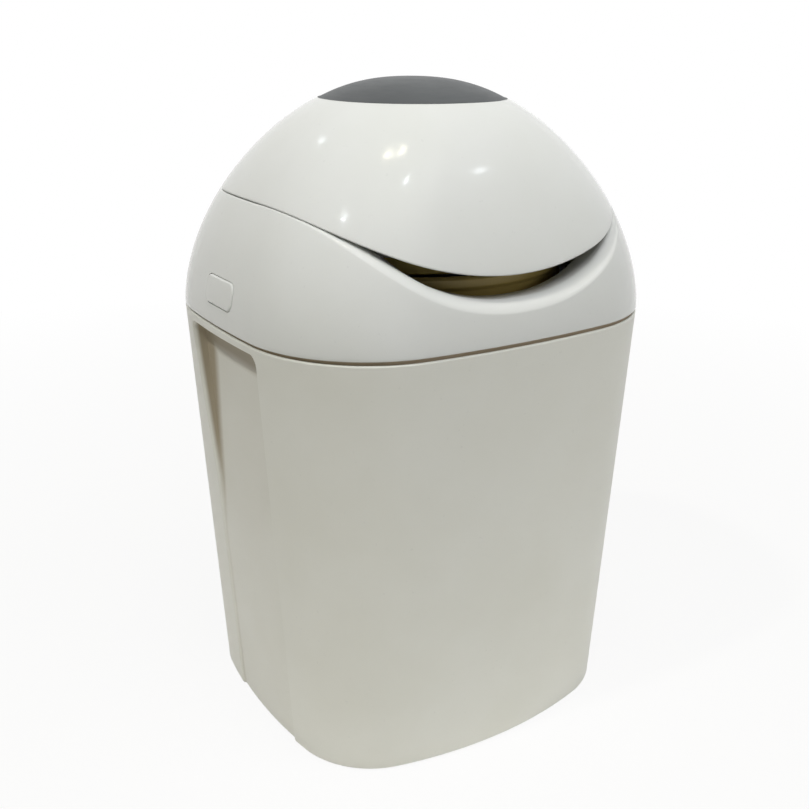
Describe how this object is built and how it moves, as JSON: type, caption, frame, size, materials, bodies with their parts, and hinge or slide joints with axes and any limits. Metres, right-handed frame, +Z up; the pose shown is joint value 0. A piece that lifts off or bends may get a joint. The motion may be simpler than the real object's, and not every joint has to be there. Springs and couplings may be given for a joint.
{
  "type": "nappy bin",
  "caption": "Free-standing nappy bin: tapered tub, domed hood hinged at the back, hinged lid with a front finger scoop, two release buttons and a twist carrier for a ring cassette of film.",
  "frame": {"origin": "centre of the tub's base, on the surface it stands on", "axes": "+Z up, front faces -Y, width along X"},
  "size_m": [0.264, 0.2422, 0.4],
  "materials": {
    "hood_white": "glossy injection-moulded white, faint flow marks",
    "tub_white": "satin milky white, slightly duller than the hood",
    "cap_grey": "satin mid grey",
    "inner_white": "satin moulded inner frame",
    "carrier_olive": "satin olive",
    "grip_grey": "soft flexible moulding",
    "seal_rubber": "matt soft seal",
    "pin_steel": "plain turned pin",
    "screw_steel": "zinc-plated screw",
    "spring_steel": "bright spring wire",
    "cassette_plastic": "pale translucent cassette moulding",
    "film": "thin pleated film",
    "latch_grey": "satin engineering plastic",
    "cutter_orange": "bright slide that a thumb finds",
    "blade_steel": "ground blade"
  },
  "bodies": {
    "base": {"tub": "tub_white", "hood_hinge_pins": "pin_steel"},
    "hood_assembly": {"hood": "hood_white", "deck": "inner_white", "deck_screws": "screw_steel", "carrier_retainer": "inner_white", "retainer_screws": "screw_steel", "film_grip": "grip_grey", "grip_screws": "screw_steel", "lid_hinge_pins": "pin_steel", "button_spring_left": "spring_steel", "button_spring_right": "spring_steel", "cutter_housing": "latch_grey"},
    "lid_assembly": {"lid": "hood_white", "lid_cap": "cap_grey", "lid_liner": "inner_white", "liner_screws": "screw_steel", "lid_seal": "seal_rubber"},
    "left_button": {"button_left": "hood_white", "latch_left": "latch_grey"},
    "right_button": {"button_right": "hood_white", "latch_right": "latch_grey"},
    "twist_carrier": {"carrier": "carrier_olive", "cassette_tray": "cassette_plastic", "cassette_cover": "cassette_plastic", "film_pack": "film", "film_sleeve": "film"},
    "film_cutter": {"cutter_slide": "cutter_orange", "cutter_blade": "blade_steel"}
  },
  "joints": [
    {"name": "hood_hinge", "type": "hinge", "parent": "base", "child": "hood_assembly", "pos_m": [0, 0.121, 0.266], "axis": [-1, 0, 0], "range_deg": [0, 95]},
    {"name": "lid_hinge", "type": "hinge", "parent": "hood_assembly", "child": "lid_assembly", "pos_m": [0, 0.10136, 0.336], "axis": [-1, 0, 0], "range_deg": [0, 95]},
    {"name": "left_button_press", "type": "slide", "parent": "hood_assembly", "child": "left_button", "axis": [1, 0, 0], "range_m": [0, 0.0035], "stiffness_N_per_m": 800, "springref_m": -0.002, "deforming": ["button_spring_left"]},
    {"name": "right_button_press", "type": "slide", "parent": "hood_assembly", "child": "right_button", "axis": [-1, 0, 0], "range_m": [0, 0.0035], "stiffness_N_per_m": 800, "springref_m": -0.002, "deforming": ["button_spring_right"]},
    {"name": "carrier_twist", "type": "hinge", "parent": "hood_assembly", "child": "twist_carrier", "pos_m": [0, 0, 0.27], "axis": [0, 0, 1], "continuous": true},
    {"name": "cutter_push", "type": "slide", "parent": "hood_assembly", "child": "film_cutter", "axis": [0, 1, 0], "range_m": [0, 0.012]}
  ]
}
